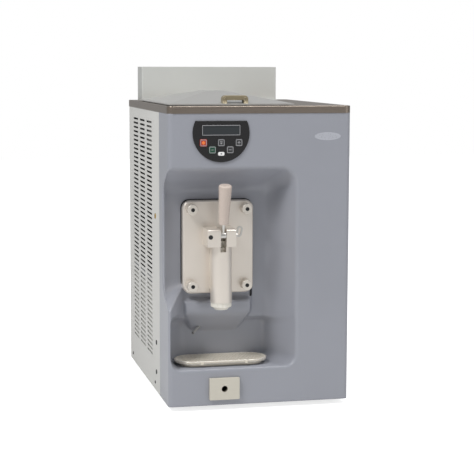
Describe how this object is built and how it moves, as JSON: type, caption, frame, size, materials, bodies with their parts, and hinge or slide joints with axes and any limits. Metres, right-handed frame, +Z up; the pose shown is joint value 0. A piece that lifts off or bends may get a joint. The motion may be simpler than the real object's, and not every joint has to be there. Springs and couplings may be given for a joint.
{
  "type": "ice cream maker",
  "caption": "Counter-top soft-serve ice cream machine with a lidded hopper, lever-worked dispensing head, control panel, drip tray and drip drawer.",
  "frame": {"origin": "centre of the bounding box's bottom, on the surface that the feet stand on", "axes": "+Z up, -Y towards the user, +X to the right of somebody facing the front"},
  "size_m": [0.4132, 0.5944, 0.755],
  "materials": {
    "moulding": "satin",
    "side_paint": "matte",
    "steel": "brushed",
    "deck_steel": "brushed",
    "galvanised": "satin",
    "rubber": "matte",
    "head_metal": "satin",
    "dark_metal": "satin",
    "copper": "satin",
    "foam": "matte",
    "white_plastic": "satin",
    "bezel": "gloss",
    "window": "clear",
    "board": "satin",
    "key_red": "satin",
    "key_green": "satin",
    "key_grey": "satin",
    "key_white": "satin",
    "ivory": "satin",
    "brass": "satin",
    "blue_paint": "satin",
    "filter_mat": "matte"
  },
  "bodies": {
    "cabinet": {"feet": "rubber", "base_pan": "galvanised", "frame": "galvanised", "front_panel": "moulding", "left_side_panel": "side_paint", "right_side_panel": "side_paint", "panel_screws": "dark_metal", "rear_panel": "galvanised", "cable_gland": "foam", "air_filter": "filter_mat", "top_deck": "deck_steel", "air_chimney": "steel", "hopper": "steel", "feed_tube": "white_plastic", "freezing_cylinder": "steel", "evaporator_jacket": "copper", "insulation": "foam", "shaft_seal": "rubber", "gear_reducer": "blue_paint", "drive_belt": "rubber", "motor": "blue_paint", "compressor": "dark_metal", "compressor_grommets": "rubber", "condenser": "galvanised", "fan_shroud": "galvanised", "fan_motor": "blue_paint", "refrigerant_pipes": "copper", "filter_drier": "copper", "electrical_box": "galvanised", "control_bezel": "bezel", "display_window": "window", "control_board": "board", "dispensing_head": "head_metal", "head_gasket": "rubber", "head_studs": "steel", "head_knobs": "white_plastic", "flow_screw": "dark_metal", "star_nozzle": "white_plastic", "drip_spout": "steel"},
    "lid": {"hopper_lid": "steel", "lid_handle": "steel"},
    "lever_body": {"lever": "steel", "lever_grip": "ivory"},
    "piston_body": {"piston": "white_plastic", "piston_seals": "rubber"},
    "pin_body": {"pivot_pin": "steel"},
    "beater_body": {"beater": "steel"},
    "driven_body": {"driven_pulley": "dark_metal"},
    "drive_body": {"motor_pulley": "dark_metal"},
    "fan_body": {"fan_blades": "white_plastic"},
    "tray_body": {"drip_tray": "steel"},
    "grid_body": {"drip_grid": "steel"},
    "drawer_body": {"drip_drawer": "steel"},
    "lock_body": {"panel_lock": "brass"},
    "stop_key_body": {"stop_key": "key_red"},
    "select_key_body": {"select_key": "key_grey"},
    "plus_key_body": {"plus_key": "key_grey"},
    "start_key_body": {"start_key": "key_green"},
    "minus_key_body": {"minus_key": "key_grey"},
    "serve_key_body": {"serve_key": "key_white"}
  },
  "joints": [
    {"name": "lid_lift", "type": "slide", "parent": "cabinet", "child": "lid", "axis": [0, 0, 1], "range_m": [0, 0.06]},
    {"name": "lever_pull", "type": "hinge", "parent": "cabinet", "child": "lever_body", "pos_m": [-0.081, -0.26025, 0.389], "axis": [1, 0, 0], "range_deg": [0, 60]},
    {"name": "piston_slide", "type": "slide", "parent": "cabinet", "child": "piston_body", "axis": [0, 0, 1], "range_m": [0, 0.0219]},
    {"name": "pin_pull", "type": "slide", "parent": "cabinet", "child": "pin_body", "axis": [1, 0, 0], "range_m": [0, 0.08]},
    {"name": "beater_spin", "type": "hinge", "parent": "cabinet", "child": "beater_body", "pos_m": [-0.081, -0.18812, 0.3575], "axis": [0, 1, 0], "continuous": true},
    {"name": "driven_spin", "type": "hinge", "parent": "cabinet", "child": "driven_body", "pos_m": [-0.081, 0.12188, 0.3575], "axis": [0, 1, 0], "continuous": true},
    {"name": "motor_spin", "type": "hinge", "parent": "cabinet", "child": "drive_body", "pos_m": [0.084, 0.12188, 0.2625], "axis": [0, 1, 0], "continuous": true},
    {"name": "fan_spin", "type": "hinge", "parent": "cabinet", "child": "fan_body", "pos_m": [-0.129, 0.03768, 0.117], "axis": [1, 0, 0], "continuous": true},
    {"name": "tray_slide", "type": "slide", "parent": "cabinet", "child": "tray_body", "axis": [0, -1, 0], "range_m": [0, 0.12]},
    {"name": "grid_lift", "type": "slide", "parent": "tray_body", "child": "grid_body", "axis": [0, 0, 1], "range_m": [0, 0.05]},
    {"name": "drawer_slide", "type": "slide", "parent": "cabinet", "child": "drawer_body", "axis": [0, -1, 0], "range_m": [0, 0.22]},
    {"name": "lock_turn", "type": "hinge", "parent": "cabinet", "child": "lock_body", "pos_m": [-0.205, -0.10432, 0.418], "axis": [1, 0, 0], "range_deg": [0, 90]},
    {"name": "stop_press", "type": "slide", "parent": "cabinet", "child": "stop_key_body", "axis": [0, 1, 0], "range_m": [0, 0.0008], "stiffness_N_per_m": 400},
    {"name": "select_press", "type": "slide", "parent": "cabinet", "child": "select_key_body", "axis": [0, 1, 0], "range_m": [0, 0.0008], "stiffness_N_per_m": 400},
    {"name": "plus_press", "type": "slide", "parent": "cabinet", "child": "plus_key_body", "axis": [0, 1, 0], "range_m": [0, 0.0008], "stiffness_N_per_m": 400},
    {"name": "start_press", "type": "slide", "parent": "cabinet", "child": "start_key_body", "axis": [0, 1, 0], "range_m": [0, 0.0008], "stiffness_N_per_m": 400},
    {"name": "minus_press", "type": "slide", "parent": "cabinet", "child": "minus_key_body", "axis": [0, 1, 0], "range_m": [0, 0.0008], "stiffness_N_per_m": 400},
    {"name": "serve_press", "type": "slide", "parent": "cabinet", "child": "serve_key_body", "axis": [0, 1, 0], "range_m": [0, 0.0008], "stiffness_N_per_m": 400}
  ],
  "couplings": [
    {"joint": "piston_slide", "follows": "lever_pull", "m_per_rad": 0.0209},
    {"joint": "driven_spin", "follows": "beater_spin", "ratio": 4},
    {"joint": "motor_spin", "follows": "beater_spin", "ratio": 8}
  ]
}
